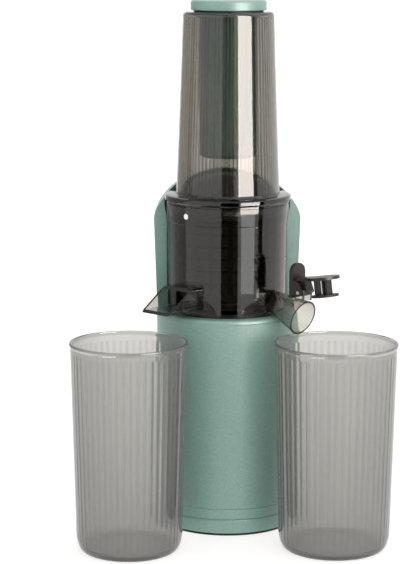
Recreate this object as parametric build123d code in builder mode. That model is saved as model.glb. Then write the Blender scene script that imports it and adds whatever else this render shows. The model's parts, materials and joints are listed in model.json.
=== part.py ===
from build123d import *
import math
import os

# Cold press juicer, in millimetres. +Z is up, the origin is on the column's axis at table level,
# and the spouts point to the front (-Y). Rest pose: lid locked, pusher down, drip stopper open.

# ---------- clearances ----------
fit_gap = 0.02              # pressed and seated round pieces of one body
running_gap = 0.05          # shafts and pins that turn in a hole
lip_gap = 0.3               # pieces of different bodies that pass each other

# ---------- column (base outside) ----------
column_foot_r = 52.0        # outside radius at the table
column_flare = 0.0135       # radius gained for each millimetre of height
shell_wall = 2.6
foot_h = 2.2                # rubber ring under the base
foot_w = 7.4
cover_top = 12.8            # top of the bottom cover
cover_floor = 2.4
cover_proud = 0.5           # the cover stands out from the column
cover_round = 1.6
band_h = 7.9
band_wall = 1.9
seam_z = 163.3              # joint between the column and the upper housing
deck_t = 2.8                # deck where the drum stands, above the seam
edge_break = 0.5            # small round that makes each seam a groove
band_top = cover_top + band_h
deck_z = seam_z + deck_t

# ---------- tower behind the drum ----------
tower_flare = 0.035         # radius gained for each millimetre of height above the seam
tower_spring = 231.8        # height where the arch begins
tower_rise = 37.2           # height of the arch
tower_front = 7.0           # Y of its flat front rim
bay_gap = 0.6               # round the drum, and round the lid
tower_skin = 1.7
tower_round = 1.0           # round on the bay's edge

# ---------- drum ----------
drum_r = 45.8
drum_draft = 0.7            # radius lost from the collar to the foot
drum_wall = 4.7
drum_floor_h = 5.4          # deck to the top of the drum's floor
drum_floor_wall = 2.5
drum_top = 248.6
collar_h = 13.6
collar_step_h = 3.6         # from its lower edge to the line round it
collar_rim_h = 3.6          # upright part above the flare
collar_r = 46.7
collar_wall = 3.8
hub_r = 12.0
hub_h = 7.1                 # hub round the drive, above the floor
drum_foot_r = drum_r - drum_draft
drum_bore_r = drum_r - drum_wall
collar_bore_r = collar_r - collar_wall
bay_r = drum_r + bay_gap    # bay that the drum stands in
drum_floor_top = deck_z + drum_floor_h
hub_top = drum_floor_top + hub_h
collar_z = drum_top - collar_h
collar_line = collar_z + collar_step_h
collar_flare_top = drum_top - collar_rim_h

# ---------- spouts ----------
spout_azimuth = 315.0
spout_tilt = 18.0           # degrees below level
spout_end_out = 76.0        # distance of the mouth's centre from the axis
spout_rise = 2.4            # mouth's centre above the deck
spout_end_r = 13.6
spout_root_r = 7.8
spout_wall = 1.5
duct_azimuth = 225.0
duct_w = 29.2
duct_rise = 5.9             # its underside above the deck
duct_h = 17.0
duct_wall = 1.9
duct_lip_out = 79.8         # bottom lip, measured from the axis
duct_roof_out = 54.8        # top lip
duct_corner = 2.4
spout_end_z = deck_z + spout_rise
duct_bottom = deck_z + duct_rise
duct_top = duct_bottom + duct_h

# ---------- drip stopper, in the vertical plane of the spout ----------
pivot_past = 1.5            # pivot beyond the mouth's centre
pivot_rise = 20.0           # and above it
pin_r = 1.3
knuckle_r = 3.0
knuckle_w = 6.4
ear_t = 2.0
plate_tilt = 8.5            # degrees, how far the open plates point up
plate_r = 12.0
plate_lift = 3.8            # plate in front of the mouth when closed
plug_depth = 9.0            # plug plate inside it
plate_t = 2.2
plug_plate_r = 8.8
plug_plate_t = 1.6
seal_lip = 1.3              # how far the seal stands out from the plug plate
tab_w = 15.0
tab_t = 3.0
tab_h = 25.4
tab_drop = 4.6              # its lower end below the pin
pivot_out = spout_end_out + pivot_past
pivot_z = spout_end_z + pivot_rise

# ---------- strainer and auger ----------
strainer_gap = 0.9          # inside the drum's bore
strainer_wall = 2.0
strainer_lift = 7.5         # its floor above the drum's
strainer_floor = 2.2
strainer_flange_t = 2.0
strainer_flange_drop = 8.6  # below the drum's top
window_columns = 18
window_rows = 6
window_rib = 2.4            # between two rows of windows
window_post = 3.2           # between two columns
mesh_t = 0.4
auger_play = 1.4            # above the strainer's floor
auger_root_r = 30.0
auger_waist_r = 26.0
auger_head_r = 31.5
flight_gap = 1.0            # between the flights and the mesh
auger_head_rise = 5.4       # widest part of the head, above the drum's top
auger_crown_h = 16.4
flight_pitch = 30.0
flight_t = 3.6
strainer_r = drum_bore_r - strainer_gap
strainer_flange_r = collar_bore_r - 0.4
strainer_bottom = drum_floor_top + strainer_lift
strainer_flange_z = drum_top - strainer_flange_drop
seal_top = strainer_bottom + strainer_floor
auger_bottom = seal_top + auger_play
auger_head_z = drum_top + auger_head_rise
auger_top = auger_head_z + auger_crown_h

# ---------- lid, hopper and pusher ----------
lid_r = 48.1
lid_neck_h = 1.2            # from the drum up to the flange
lid_rim_h = 5.9             # from the drum up to the flange's top edge
lid_rim_round = 1.8
hopper_foot_h = 7.6         # flange up to the foot of the hopper's wall
hopper_h = 136.2            # wall and shoulder
hopper_foot_r = 39.35
hopper_mid_r = 36.75
hopper_neck_r = 34.5
hopper_wall = 2.4
hopper_mouth_r = 24.8
shoulder_r = 3.0
shoulder_h = 3.4
spigot_h = 5.7              # spigot below the flange
lug_count = 3
lug_span = 10.0             # degrees
twist_angle = 30.0          # degrees from locked to open
lug_depth = 1.4
lug_drop = 4.8              # underside of the lugs below the flange
lug_h = 2.4
cap_r = 28.6
cap_gap = 1.2               # ring between the cap and the hopper
cap_h = 7.4
cap_round = 2.0
pusher_r = 22.0
pusher_clear = 12.9         # above the auger's crown
pusher_wall = 2.0
pusher_round = 4.0
lid_bay_r = lid_r + bay_gap
bay_step_z = collar_z - 4 * bay_gap
lid_z = drum_top + lip_gap
spigot_bottom = lid_z - spigot_h
lug_bottom = lid_z - lug_drop
lug_top = lug_bottom + lug_h
reed_pocket_top = lid_z + hopper_foot_h - 0.5
hopper_foot_z = lid_z + hopper_foot_h
hopper_top = hopper_foot_z + hopper_h
hopper_neck_z = hopper_top - shoulder_h
hopper_mid_z = (hopper_foot_z + hopper_neck_z) / 2
cap_bottom = hopper_top + cap_gap
cap_top = cap_bottom + cap_h
pusher_bottom = auger_top + pusher_clear

# ---------- cups ----------
cup_wall = 2.2
cup_floor = 4.0
cup_taper = 4.2             # radius lost from the rim to the lower corner
cup_corner_z = 14.0
cup_corner_w = 6.6
cup_foot_recess = 0.9
cup_foot_w = 3.4            # ring that the cup stands on
cup_bead = 0.7              # how far the lip stands out from the wall
cup_bead_h = 3.4
pulp_cup_h = 156.7
pulp_cup_rim_r = 43.6
pulp_cup_x = -75.9
pulp_cup_y = -81.8
juice_cup_h = 155.3
juice_cup_rim_r = 45.6
juice_cup_x = 76.2
juice_cup_y = -81.0

# ---------- gear train ----------
module = 1.0
pressure_deg = 25.0
sun_teeth = 12
planet_teeth = 18
ring_teeth = sun_teeth + 2 * planet_teeth
planet_count = 3
tooth_slack = 0.12          # backlash taken from each tooth
flank_steps = 5
carrier_pin_r = 2.4
carrier_r = 21.0
carrier_t = 3.6
gear_well_h = 31.5
gear_well_drop = 13.8       # top of the gear well below the seam
stage_face = 8.2            # face width of a stage
stage_play = 0.3            # play above and below each gear
gearbox_r = 31.0
ring_outer_r = 28.0
gearbox_ear_drop = 9.3      # underside of the ears below the seam
gearbox_ear_t = 3.0
gearbox_ear_out = 42.0
gearbox_boss_r = 12.2
output_r = 8.0
output_bearing_r = 14.0
output_bearing_h = 7.0
hex_across = 11.0
hex_h = 22.8
gear_well_top = seam_z - gear_well_drop
gearbox_bottom = gear_well_top - gear_well_h
gearbox_ear_z = seam_z - gearbox_ear_drop
hex_start = seal_top
hex_top = hex_start + hex_h

# ---------- motor ----------
motor_plate_t = 3.3
can_bottom = 36.0
can_r = 30.0
can_wall = 1.8
end_bell_bottom = 28.0
motor_shaft_r = 2.5
motor_shaft_bottom = 24.0
bearing_r = 8.0
bearing_h = 5.0
core_bottom = 58.0
core_top = 96.0
core_r = 22.0
slot_count = 12
winding_r = 20.0
winding_hub_r = 8.0
winding_low = 48.5
winding_high = 102.5
commutator_r = 9.0
commutator_bottom = 38.5
commutator_top = 47.5
brush_side = 5.0
brush_l = 9.0
brush_z = 42.6
magnet_gap = 1.0
magnet_arc = 120.0
fan_bottom = 103.4
fan_top = 107.8
fan_r = 24.0
fan_blades = 9

# ---------- screws ----------
screw_r = 1.5
screw_head_r = 2.8
screw_head_h = 2.3
deck_screw_out = 47.5
deck_lug_r = 4.2
cover_screw_out = 46.0
cover_screw_top = 33.0
gear_screw_out = 34.4
gear_screw_grip = 9.0       # thread held by the gearbox
motor_screw_out = 14.0

# ---------- rear of the base ----------
switch_z = 56.0
switch_w = 13.0
switch_h = 19.0
switch_depth = 13.0
bezel_w = 15.4
bezel_h = 21.4
bezel_t = 1.8
bezel_seat_y = 51.0         # flat that the bezel sits on
rocker_w = 9.6
rocker_h = 15.0
rocker_pin_r = 1.2
gland_z = 31.0
gland_r = 4.6
gland_flange_r = 6.4
gland_bore_r = 3.1
board_w = 33.6
board_h = 36.0
board_t = 1.6
board_bottom = 74.0
board_y = 36.0

os.makedirs("parts", exist_ok=True)


def column_r(height):
    """Outside radius of the column at a height."""
    return column_foot_r + column_flare * height


def upper_r(height):
    """Outside radius of the upper housing at a height."""
    return column_r(seam_z) + tower_flare * (height - seam_z)


def upright(azimuth):
    """Vertical plane through the axis: local X points outwards at the azimuth, local Y up."""
    turn = math.radians(azimuth)
    return Plane(origin=(0, 0, 0), x_dir=(math.cos(turn), math.sin(turn), 0),
                 z_dir=(math.sin(turn), -math.cos(turn), 0))


def level(height, azimuth=0.0):
    """Horizontal plane at a height, with local X at the azimuth."""
    turn = math.radians(azimuth)
    return Plane(origin=(0, 0, height), x_dir=(math.cos(turn), math.sin(turn), 0), z_dir=(0, 0, 1))


def save(builder, name):
    builder.part.label = name
    export_step(builder.part, f"parts/{name}.step")


def disc(bottom, top, outer, inner=0.0, mode=Mode.ADD):
    """Round plate, ring or tube on the axis, added to the part being built."""
    with BuildSketch(Plane.XY.offset(bottom)) as outline:
        Circle(outer)
        if inner:
            Circle(inner, mode=Mode.SUBTRACT)
    extrude(outline.sketch, amount=top - bottom, mode=mode)


def posts(bottom, top, radius, out, start, count=4, mode=Mode.ADD):
    """Round posts or holes on a circle, added to the part being built."""
    with BuildSketch(Plane.XY.offset(bottom)) as outline:
        with PolarLocations(out, count, start_angle=start):
            Circle(radius)
    extrude(outline.sketch, amount=top - bottom, mode=mode)


def gear_points(teeth, addendum, dedendum, slack):
    """Corners of an involute gear outline with a tooth centred on local X."""
    pitch_r = module * teeth / 2
    base_r = pitch_r * math.cos(math.radians(pressure_deg))
    flat = math.tan(math.radians(pressure_deg)) - math.radians(pressure_deg)
    half_tooth = math.pi / (2 * teeth) - slack / (2 * pitch_r)
    flank = []
    for step in range(flank_steps + 1):
        radius = pitch_r - dedendum + (addendum + dedendum) * step / flank_steps
        roll = math.sqrt(max((radius / base_r) ** 2 - 1, 0))
        flank.append((radius, half_tooth + flat - (roll - math.atan(roll))))
    points = []
    for tooth in range(teeth):
        centre = 2 * math.pi * tooth / teeth
        rising = [(radius, centre - angle) for radius, angle in flank]
        falling = [(radius, centre + angle) for radius, angle in reversed(flank)]
        points += [(radius * math.cos(angle), radius * math.sin(angle)) for radius, angle in rising + falling]
    return points


def gear_blank(plane, height, teeth, addendum, dedendum, slack, mode=Mode.ADD):
    """Toothed prism on a plane, added to or cut from the part being built."""
    with BuildSketch(plane) as outline:
        with BuildLine():
            Polyline(*gear_points(teeth, addendum, dedendum, slack), close=True)
        make_face()
    extrude(outline.sketch, amount=height, mode=mode)


def screws(head_bottom, tip, out, start, count=4):
    """Pan-head screws standing head down on a circle, added to the part being built."""
    posts(head_bottom, head_bottom + screw_head_h, screw_head_r, out, start, count)
    posts(head_bottom + screw_head_h, tip, screw_r, out, start, count)


# =====================================================================
# Base: outside shells
# =====================================================================

with BuildPart() as foot_ring:
    foot_outer = column_r(0) - 0.6
    disc(0, foot_h, foot_outer, foot_outer - foot_w)
    chamfer(foot_ring.edges().group_by(Axis.Z)[0], length=0.5)
save(foot_ring, "foot_ring")

post_r = 3.6
with BuildPart() as base_cover:
    cover_r = column_r(cover_top) + cover_proud
    disc(foot_h, cover_top, cover_r)
    rim = base_cover.edges().group_by(Axis.Z)[-1]
    fillet(rim, radius=cover_round)
    disc(foot_h + cover_floor, cover_top, cover_r - shell_wall, mode=Mode.SUBTRACT)
    posts(foot_h + cover_floor, band_top, post_r, cover_screw_out, 45)
    posts(foot_h, band_top, screw_r + 0.2, cover_screw_out, 45, mode=Mode.SUBTRACT)
    posts(foot_h, foot_h + screw_head_h + 0.3, screw_head_r + 0.2, cover_screw_out, 45, mode=Mode.SUBTRACT)
    with BuildSketch(Plane.XY.offset(foot_h)):
        with PolarLocations(24, 16):
            SlotOverall(14, 2.4)
    extrude(amount=cover_floor, mode=Mode.SUBTRACT)
save(base_cover, "base_cover")

with BuildPart() as base_band:
    band_r = column_r(cover_top)
    disc(cover_top, band_top, band_r, band_r - band_wall)
    fillet(base_band.edges().filter_by(GeomType.CIRCLE).sort_by(SortBy.RADIUS)[-2:], radius=edge_break)
save(base_band, "base_band")

with BuildPart() as base_housing:
    with BuildSketch(Plane.XZ):
        with BuildLine():
            Polyline((column_r(band_top) - shell_wall, band_top), (column_r(band_top), band_top),
                     (column_r(seam_z), seam_z), (column_r(seam_z) - shell_wall, seam_z), close=True)
        make_face()
    revolve(axis=Axis.Z)
    outer_edges = base_housing.edges().filter_by(GeomType.CIRCLE)
    fillet([outer_edges.sort_by(SortBy.RADIUS)[-1],
            outer_edges.group_by(Axis.Z)[0].sort_by(SortBy.RADIUS)[-1]], radius=edge_break)
    # screw bosses at the bottom, lugs for the deck's screws at the top
    boss_r = 4.2
    posts(band_top, cover_screw_top + 1.5, boss_r, cover_screw_out, 45)
    posts(band_top, cover_screw_top + 0.4, screw_r + fit_gap, cover_screw_out, 45, mode=Mode.SUBTRACT)
    deck_lug_z = gearbox_ear_z - 1.0
    deck_lug_top = gearbox_ear_z + gearbox_ear_t
    posts(deck_lug_z, deck_lug_top, deck_lug_r, deck_screw_out, 45)
    posts(deck_lug_z, deck_lug_top, screw_r + 0.2, deck_screw_out, 45, mode=Mode.SUBTRACT)
    # flat pocket and cut-out for the switch, hole for the cord gland
    with BuildSketch(Plane.XZ.offset(-bezel_seat_y)):
        with Locations((0, switch_z)):
            Rectangle(bezel_w + 2 * lip_gap, bezel_h + 2 * lip_gap)
    extrude(amount=-shell_wall * 2, mode=Mode.SUBTRACT)
    with BuildSketch(Plane.XZ.offset(-bezel_seat_y)):
        with Locations((0, switch_z)):
            Rectangle(bezel_w + 6, bezel_h + 6)
    extrude(amount=2.4)
    with BuildSketch(Plane.XZ.offset(-bezel_seat_y)):
        with Locations((0, switch_z)):
            Rectangle(switch_w + 2 * fit_gap, switch_h + 2 * fit_gap)
    extrude(amount=8, both=True, mode=Mode.SUBTRACT)
    with BuildSketch(Plane.XZ.offset(-(column_r(gland_z) - 10))):
        with Locations((0, gland_z)):
            Circle(gland_r + fit_gap)
    extrude(amount=-14, mode=Mode.SUBTRACT)
    # rails that hold the circuit board by its edges
    for side in (-1, 1):
        with BuildSketch(Plane.XY.offset(board_bottom - 2)):
            with Locations((side * (board_w / 2 + 1), board_y + 6)):
                Rectangle(4, 14)
        extrude(amount=board_h + 2)
    with BuildSketch(Plane.XY.offset(board_bottom)):
        with Locations((0, board_y + board_t / 2)):
            Rectangle(board_w + 2 * fit_gap, board_t + 2 * fit_gap)
    extrude(amount=board_h + 1, mode=Mode.SUBTRACT)
save(base_housing, "base_housing")

with BuildPart() as upper_housing:
    body_top = tower_spring + tower_rise + 10
    arch_r = upper_r(tower_spring)
    with BuildSketch(Plane.XZ):
        with BuildLine():
            Polyline((0, seam_z), (upper_r(seam_z), seam_z), (upper_r(body_top), body_top),
                     (0, body_top), close=True)
        make_face()
    revolve(axis=Axis.Z)
    # arch over the tower
    with BuildSketch(Plane.XZ):
        with BuildLine():
            EllipticalCenterArc((0, tower_spring), arch_r, tower_rise, start_angle=0, arc_size=180)
            Polyline((-arch_r, tower_spring), (-2 * arch_r, tower_spring), (-2 * arch_r, body_top + 20),
                     (2 * arch_r, body_top + 20), (2 * arch_r, tower_spring), (arch_r, tower_spring))
        make_face()
    extrude(amount=2 * arch_r, both=True, mode=Mode.SUBTRACT)
    # everything in front of the tower's rim, above the deck
    with BuildSketch(Plane.XY.offset(deck_z)):
        with Locations((0, tower_front)):
            Rectangle(4 * arch_r, 4 * arch_r, align=(Align.CENTER, Align.MAX))
    extrude(amount=body_top, mode=Mode.SUBTRACT)
    deck_edge = upper_housing.edges().filter_by(GeomType.CIRCLE).group_by(Axis.Z)
    deck_edge = [edge for group in deck_edge for edge in group
                 if abs(edge.center().Z - deck_z) < 0.01 and abs(edge.radius - upper_r(deck_z)) < 0.01]
    fillet(deck_edge, radius=deck_z - seam_z - 0.1)
    # bay for the drum, wider at the top for the collar and the lid
    with BuildSketch(Plane.XZ):
        with BuildLine():
            Polyline((0, deck_z), (bay_r, deck_z), (bay_r, bay_step_z), (lid_bay_r, collar_flare_top),
                     (lid_bay_r, body_top), (0, body_top), close=True)
        make_face()
    revolve(axis=Axis.Z, mode=Mode.SUBTRACT)
    # skirt that locates in the column, bosses, and the hole for the drive
    skirt_r = column_r(gearbox_ear_z + gearbox_ear_t) - shell_wall - fit_gap
    disc(gearbox_ear_z + gearbox_ear_t + 0.4, seam_z, skirt_r, skirt_r - 1.8)
    posts(gearbox_ear_z + gearbox_ear_t, seam_z, 3.6, deck_screw_out, 45)
    posts(gearbox_ear_z + gearbox_ear_t, seam_z, 4.0, gearbox_ear_out, 0)
    for out, start in ((deck_screw_out, 45), (gearbox_ear_out, 0)):
        posts(gearbox_ear_z, seam_z + 1.2, screw_r + fit_gap, out, start, mode=Mode.SUBTRACT)
    disc(seam_z - 1, deck_z, gearbox_boss_r + fit_gap, mode=Mode.SUBTRACT)
    # hollow in the tower wall, open below, for the reed switch
    with BuildSketch(Plane.XY.offset(seam_z - 1)):
        Circle(upper_r(deck_z) - tower_skin)
        Circle(lid_bay_r + tower_skin, mode=Mode.SUBTRACT)
        with Locations((0, lid_bay_r)):
            Rectangle(30, 20, mode=Mode.INTERSECT)
    extrude(amount=reed_pocket_top - seam_z + 1, mode=Mode.SUBTRACT)
    bay_edges = [edge for edge in upper_housing.edges()
                 if all(abs(math.hypot((edge @ share).X, (edge @ share).Y) - bay_r) < 0.05
                        and (edge @ share).Z > deck_z + 0.5 for share in (0.1, 0.5, 0.9))
                 and abs((edge @ 0.1).Z - (edge @ 0.5).Z) > 0.1]
    fillet(bay_edges, radius=tower_round)
save(upper_housing, "upper_housing")

# =====================================================================
# Base: gearbox
# =====================================================================

gear_addendum = module
gear_dedendum = 1.25 * module
stage_one_z = gearbox_bottom + 2.5
carrier_one_z = stage_one_z + stage_face + stage_play
stage_two_z = carrier_one_z + carrier_t + stage_play
carrier_two_z = stage_two_z + stage_face + stage_play
carrier_out = module * (sun_teeth + planet_teeth) / 2
planet_bore_r = carrier_pin_r + running_gap
bearing_top = gear_well_top + output_bearing_h
output_seal_z = deck_z - 4.0
output_seal_r = 10.2

with BuildPart() as gearbox_housing:
    disc(gearbox_bottom, gearbox_ear_z + gearbox_ear_t, gearbox_r)
    disc(gear_well_top, seam_z, output_bearing_r + 4)
    disc(seam_z - 1, deck_z, gearbox_boss_r)
    with BuildSketch(Plane.XY.offset(gearbox_ear_z)):
        with PolarLocations(gearbox_ear_out, 4):
            Circle(4.5)
        with PolarLocations((gearbox_ear_out + gearbox_r) / 2 - 1, 4):
            Rectangle(gearbox_ear_out - gearbox_r + 2, 9)
    extrude(amount=gearbox_ear_t)
    posts(gearbox_bottom, gearbox_bottom + gear_screw_grip + 3, 3.8, gear_screw_out, 30, planet_count)
    # gear well, bearing seat, shaft bore, seal seat and the lightening ring on top
    disc(gearbox_bottom, gear_well_top, ring_outer_r + fit_gap, mode=Mode.SUBTRACT)
    disc(gear_well_top, bearing_top, output_bearing_r + fit_gap, mode=Mode.SUBTRACT)
    disc(bearing_top, deck_z, output_r + 1, mode=Mode.SUBTRACT)
    disc(output_seal_z, deck_z, output_seal_r + fit_gap, mode=Mode.SUBTRACT)
    disc(gear_well_top + 3, gearbox_ear_z + gearbox_ear_t, gearbox_r - 2, output_bearing_r + 4,
         mode=Mode.SUBTRACT)
    posts(gearbox_bottom, gearbox_bottom + gear_screw_grip + 2, screw_r + fit_gap, gear_screw_out, 30,
          planet_count, mode=Mode.SUBTRACT)
    posts(gearbox_ear_z, gearbox_ear_z + gearbox_ear_t, screw_r + 0.2, gearbox_ear_out, 0,
          mode=Mode.SUBTRACT)
save(gearbox_housing, "gearbox_housing")

with BuildPart() as ring_gear:
    disc(gearbox_bottom, gear_well_top - stage_play, ring_outer_r)
    gear_blank(level(gearbox_bottom, 180 / ring_teeth), gear_well_top - gearbox_bottom,
               ring_teeth, gear_dedendum, gear_addendum, -tooth_slack, mode=Mode.SUBTRACT)
save(ring_gear, "ring_gear")

motor_plate_z = gearbox_bottom - motor_plate_t
with BuildPart() as motor_plate:
    disc(motor_plate_z, gearbox_bottom, gearbox_r)
    posts(motor_plate_z, gearbox_bottom, 3.8, gear_screw_out, 30, planet_count)
    posts(motor_plate_z, gearbox_bottom, screw_r + 0.2, gear_screw_out, 30, planet_count, mode=Mode.SUBTRACT)
    posts(motor_plate_z, gearbox_bottom, screw_r + 0.2, motor_screw_out, 0, 2, mode=Mode.SUBTRACT)
    posts(gearbox_bottom - screw_head_h, gearbox_bottom, screw_head_r + 0.2, motor_screw_out, 0, 2,
          mode=Mode.SUBTRACT)
    disc(motor_plate_z, gearbox_bottom, bearing_r + fit_gap, mode=Mode.SUBTRACT)
save(motor_plate, "motor_plate")

with BuildPart() as gearbox_screws:
    screws(motor_plate_z - screw_head_h, gearbox_bottom + gear_screw_grip, gear_screw_out, 30, planet_count)
save(gearbox_screws, "gearbox_screws")

with BuildPart() as deck_screws:
    screws(gearbox_ear_z - screw_head_h, seam_z + 1, gearbox_ear_out, 0)
    screws(deck_lug_z - screw_head_h, seam_z, deck_screw_out, 45)
save(deck_screws, "deck_screws")

with BuildPart() as cover_screws:
    screws(foot_h + 0.3, cover_screw_top, cover_screw_out, 45)
save(cover_screws, "cover_screws")


def bearing(bottom, top, outer, inner):
    """Sealed ball bearing: a ring with a groove on each face, added to the part being built."""
    groove_in = inner + (outer - inner) * 0.3
    groove_out = outer - (outer - inner) * 0.3
    disc(bottom, top, outer, inner)
    disc(bottom, bottom + 0.5, groove_out, groove_in, mode=Mode.SUBTRACT)
    disc(top - 0.5, top, groove_out, groove_in, mode=Mode.SUBTRACT)


with BuildPart() as output_bearing:
    bearing(gear_well_top + 0.1, bearing_top, output_bearing_r, output_r + fit_gap)
save(output_bearing, "output_bearing")

with BuildPart() as shaft_seal:
    disc(output_seal_z, deck_z, output_seal_r, output_r + running_gap)
    disc(output_seal_z + 1.2, deck_z - 1.2, output_r + 0.9, output_r, mode=Mode.SUBTRACT)
save(shaft_seal, "shaft_seal")

for stage, gear_z in ((1, stage_one_z), (2, stage_two_z)):
    for number in range(planet_count):
        azimuth = 360 / planet_count * number
        turn = math.radians(azimuth)
        tooth_turn = math.radians(azimuth + 180 / planet_teeth)
        centre = (carrier_out * math.cos(turn), carrier_out * math.sin(turn), gear_z)
        with BuildPart() as planet_gear:
            gear_plane = Plane(origin=centre, x_dir=(math.cos(tooth_turn), math.sin(tooth_turn), 0),
                               z_dir=(0, 0, 1))
            gear_blank(gear_plane, stage_face, planet_teeth, gear_addendum, gear_dedendum, tooth_slack)
            with BuildSketch(gear_plane):
                Circle(planet_bore_r)
            extrude(amount=stage_face, mode=Mode.SUBTRACT)
        save(planet_gear, f"stage{stage}_planet_{number + 1}")

with BuildPart() as first_carrier:
    disc(carrier_one_z, carrier_one_z + carrier_t, carrier_r)
    posts(stage_one_z - stage_play, carrier_one_z, carrier_pin_r, carrier_out, 0, planet_count)
    gear_blank(level(carrier_one_z + carrier_t), stage_face + stage_play, sun_teeth,
               gear_addendum, gear_dedendum, tooth_slack)
save(first_carrier, "first_carrier")

with BuildPart() as output_carrier:
    disc(carrier_two_z, carrier_two_z + carrier_t, carrier_r)
    posts(stage_two_z - stage_play / 2, carrier_two_z, carrier_pin_r, carrier_out, 0, planet_count)
    disc(carrier_two_z + carrier_t, hex_start, output_r)
    with BuildSketch(Plane.XY.offset(hex_start)):
        RegularPolygon(hex_across / 2, 6, major_radius=False)
    extrude(amount=hex_top - hex_start)
    chamfer(output_carrier.edges().group_by(Axis.Z)[-1], length=0.8)
save(output_carrier, "output_carrier")

# =====================================================================
# Base: motor
# =====================================================================

can_inner = can_r - can_wall
upper_bearing_z = motor_plate_z - bearing_h
with BuildPart() as motor_can:
    disc(can_bottom, motor_plate_z, can_r)
    disc(can_bottom, motor_plate_z - 2, can_inner, mode=Mode.SUBTRACT)
    disc(upper_bearing_z, motor_plate_z - 2, bearing_r + 2)
    disc(upper_bearing_z, motor_plate_z, bearing_r + fit_gap, mode=Mode.SUBTRACT)
    posts(motor_plate_z - 2, motor_plate_z, screw_r + fit_gap, motor_screw_out, 0, 2, mode=Mode.SUBTRACT)
    # cooling windows near the fan
    with BuildSketch(Plane.XY.offset(fan_bottom)):
        with PolarLocations(can_r, 8, start_angle=22.5):
            Rectangle(8, 10)
    extrude(amount=fan_top - fan_bottom, mode=Mode.SUBTRACT)
save(motor_can, "motor_can")

with BuildPart() as motor_screws:
    posts(gearbox_bottom - screw_head_h + 0.1, gearbox_bottom, screw_head_r, motor_screw_out, 0, 2)
    posts(motor_plate_z - 4, gearbox_bottom - screw_head_h + 0.1, screw_r, motor_screw_out, 0, 2)
save(motor_screws, "motor_screws")

magnet_outer = can_inner - fit_gap
magnet_inner = core_r + magnet_gap
with BuildPart() as motor_magnets:
    for side in (0, 180):
        with BuildSketch(level(core_bottom - 2, side - magnet_arc / 2)):
            with BuildLine():
                outside = CenterArc((0, 0), magnet_outer, 0, magnet_arc)
                inside = CenterArc((0, 0), magnet_inner, 0, magnet_arc)
                Line(outside @ 0, inside @ 0)
                Line(outside @ 1, inside @ 1)
            make_face()
        extrude(amount=core_top - core_bottom + 4)
save(motor_magnets, "motor_magnets")

holder_side = brush_side + 3
brush_in = commutator_r + running_gap
with BuildPart() as motor_end_bell:
    disc(end_bell_bottom, can_bottom, can_r)
    disc(can_bottom, can_bottom + 3, can_inner - fit_gap)
    disc(end_bell_bottom + 2.4, can_bottom + 3, can_inner - 2, bearing_r + 2.5, mode=Mode.SUBTRACT)
    disc(end_bell_bottom + bearing_h, can_bottom + 3, bearing_r + 2.5, mode=Mode.SUBTRACT)
    disc(end_bell_bottom, can_bottom, bearing_r + fit_gap, mode=Mode.SUBTRACT)
    # brush holders, on feet that stand on the bell's floor
    for side in (-1, 1):
        with BuildSketch(Plane.XY.offset(end_bell_bottom + 2)):
            with Locations((side * (brush_in + 2 + brush_l / 2), 0)):
                Rectangle(brush_l, holder_side)
        extrude(amount=brush_z + holder_side / 2 - end_bell_bottom - 2)
    with BuildSketch(Plane.YZ):
        with Locations((0, brush_z)):
            Rectangle(brush_side + 2 * fit_gap, brush_side + 2 * fit_gap)
    extrude(amount=can_inner - 2, both=True, mode=Mode.SUBTRACT)
    posts(end_bell_bottom, end_bell_bottom + 2.4, 3, 18, 45, mode=Mode.SUBTRACT)
save(motor_end_bell, "motor_end_bell")

with BuildPart() as carbon_brushes:
    for side in (-1, 1):
        with BuildSketch(Plane.XY.offset(brush_z - brush_side / 2)):
            with Locations((side * (brush_in + brush_l / 2), 0)):
                Rectangle(brush_l, brush_side)
        extrude(amount=brush_side)
    disc(brush_z - brush_side, brush_z + brush_side, brush_in, mode=Mode.SUBTRACT)
save(carbon_brushes, "carbon_brushes")

with BuildPart() as rotor_bearings:
    bearing(end_bell_bottom, end_bell_bottom + bearing_h, bearing_r, motor_shaft_r + fit_gap)
    bearing(upper_bearing_z, upper_bearing_z + bearing_h, bearing_r, motor_shaft_r + fit_gap)
save(rotor_bearings, "rotor_bearings")

pinion_bottom = gearbox_bottom + 1.0
pinion_top = stage_one_z + stage_face
with BuildPart() as rotor_shaft:
    disc(motor_shaft_bottom, pinion_top, motor_shaft_r)
    chamfer(rotor_shaft.edges().group_by(Axis.Z)[0], length=0.4)
save(rotor_shaft, "rotor_shaft")

with BuildPart() as pinion:
    gear_blank(level(pinion_bottom), pinion_top - pinion_bottom, sun_teeth,
               gear_addendum, gear_dedendum, tooth_slack)
    disc(pinion_bottom, pinion_top, motor_shaft_r + fit_gap, mode=Mode.SUBTRACT)
save(pinion, "pinion")

with BuildPart() as armature_core:
    disc(core_bottom, core_top, core_r, motor_shaft_r + fit_gap)
    with BuildSketch(Plane.XY.offset(core_bottom)):
        with PolarLocations(core_r, slot_count):
            Rectangle(4, 1.6)
        with PolarLocations((core_r + winding_hub_r) / 2 + 1.5, slot_count):
            SlotOverall(8, 4.4)
    extrude(amount=core_top - core_bottom, mode=Mode.SUBTRACT)
save(armature_core, "armature_core")

with BuildPart() as armature_windings:
    disc(winding_low, core_bottom, winding_r, winding_hub_r)
    disc(core_top, winding_high, winding_r, winding_hub_r)
    with BuildSketch(Plane.XY.offset(core_bottom)):
        with PolarLocations((core_r + winding_hub_r) / 2 + 1.5, slot_count):
            SlotOverall(8 - 2 * running_gap, 4.4 - 2 * running_gap)
    extrude(amount=core_top - core_bottom)
    ends = armature_windings.edges().filter_by(GeomType.CIRCLE).filter_by(
        lambda edge: abs(edge.radius - winding_r) < 0.01)
    fillet([ends.sort_by(Axis.Z)[0], ends.sort_by(Axis.Z)[-1]], radius=3)
save(armature_windings, "armature_windings")

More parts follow.
